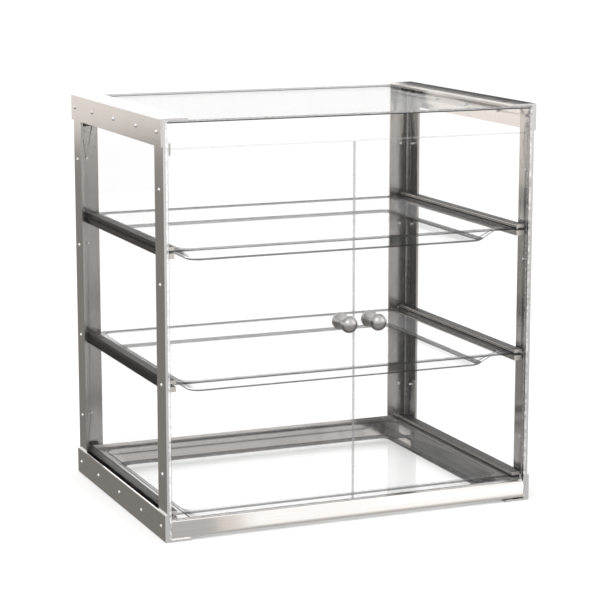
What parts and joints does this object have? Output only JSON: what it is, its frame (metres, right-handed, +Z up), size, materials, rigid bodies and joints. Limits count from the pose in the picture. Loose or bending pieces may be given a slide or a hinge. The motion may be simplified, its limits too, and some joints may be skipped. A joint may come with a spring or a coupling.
{
  "type": "bakery display case",
  "caption": "Countertop pastry case: riveted steel frame, clear panels, hinged clear doors with knobs, and clear trays that slide on black runners.",
  "frame": {"origin": "centre of the overall footprint, knobs and rivet heads included, at the level of the counter", "axes": "+Z up; -Y towards the front, where the doors are; +X to the right of someone facing the doors"},
  "size_m": [0.487, 0.3882, 0.5],
  "materials": {
    "brushed_steel": "brushed along each part",
    "packing_steel": "mill finish",
    "rivet_steel": "polished domes",
    "knob_satin": "satin",
    "pin_steel": "turned",
    "washer_nylon": "natural nylon",
    "clear_acrylic": "clear, polished edges",
    "tray_clear": "clear, moulded",
    "runner_black": "extruded, satin"
  },
  "bodies": {
    "case": {"base_angle_left": "brushed_steel", "base_angle_right": "brushed_steel", "top_angle_left": "brushed_steel", "top_angle_right": "brushed_steel", "front_post_left": "brushed_steel", "front_post_right": "brushed_steel", "rear_post_left": "brushed_steel", "rear_post_right": "brushed_steel", "packing_base_left": "packing_steel", "packing_base_right": "packing_steel", "packing_top_left": "packing_steel", "packing_top_right": "packing_steel", "front_apron": "brushed_steel", "rear_apron": "brushed_steel", "side_panel_left": "clear_acrylic", "side_panel_right": "clear_acrylic", "back_panel": "clear_acrylic", "top_pane": "clear_acrylic", "transom": "clear_acrylic", "door_stop": "clear_acrylic", "pivot_washer_left": "washer_nylon", "pivot_washer_right": "washer_nylon", "rail_upper_left_1": "runner_black", "rail_upper_right_1": "runner_black", "rail_lower_left_1": "runner_black", "rail_lower_right_1": "runner_black", "rail_upper_left_2": "runner_black", "rail_upper_right_2": "runner_black", "rail_lower_left_2": "runner_black", "rail_lower_right_2": "runner_black", "rail_upper_left_3": "runner_black", "rail_upper_right_3": "runner_black", "rail_lower_left_3": "runner_black", "rail_lower_right_3": "runner_black", "rivets_base_left": "rivet_steel", "rivets_base_right": "rivet_steel", "rivets_top_left": "rivet_steel", "rivets_top_right": "rivet_steel", "rivets_front_post_left": "rivet_steel", "rivets_front_post_right": "rivet_steel", "rivets_rear_post_left": "rivet_steel", "rivets_rear_post_right": "rivet_steel", "rivets_back_left": "rivet_steel", "rivets_back_right": "rivet_steel"},
    "door_left": {"door_left": "clear_acrylic", "pivot_pin_upper_left": "pin_steel", "pivot_pin_lower_left": "pin_steel", "knob_left": "knob_satin", "knob_screw_left": "pin_steel", "knob_washer_left": "washer_nylon"},
    "door_right": {"door_right": "clear_acrylic", "pivot_pin_upper_right": "pin_steel", "pivot_pin_lower_right": "pin_steel", "knob_right": "knob_satin", "knob_screw_right": "pin_steel", "knob_washer_right": "washer_nylon"},
    "tray_1": {"tray_1": "tray_clear"},
    "tray_2": {"tray_2": "tray_clear"},
    "tray_3": {"tray_3": "tray_clear"}
  },
  "joints": [
    {"name": "door_left_hinge", "type": "hinge", "parent": "case", "child": "door_left", "pos_m": [-0.2307, -0.1549, 0.25], "axis": [0, 0, -1], "range_deg": [0, 100]},
    {"name": "door_right_hinge", "type": "hinge", "parent": "case", "child": "door_right", "pos_m": [0.2307, -0.1549, 0.25], "axis": [0, 0, 1], "range_deg": [0, 100]},
    {"name": "tray_1_slide", "type": "slide", "parent": "case", "child": "tray_1", "axis": [0, -1, 0], "range_m": [0, 0.01]},
    {"name": "tray_2_slide", "type": "slide", "parent": "case", "child": "tray_2", "axis": [0, -1, 0], "range_m": [0, 0.01]},
    {"name": "tray_3_slide", "type": "slide", "parent": "case", "child": "tray_3", "axis": [0, -1, 0], "range_m": [0, 0.01]}
  ]
}
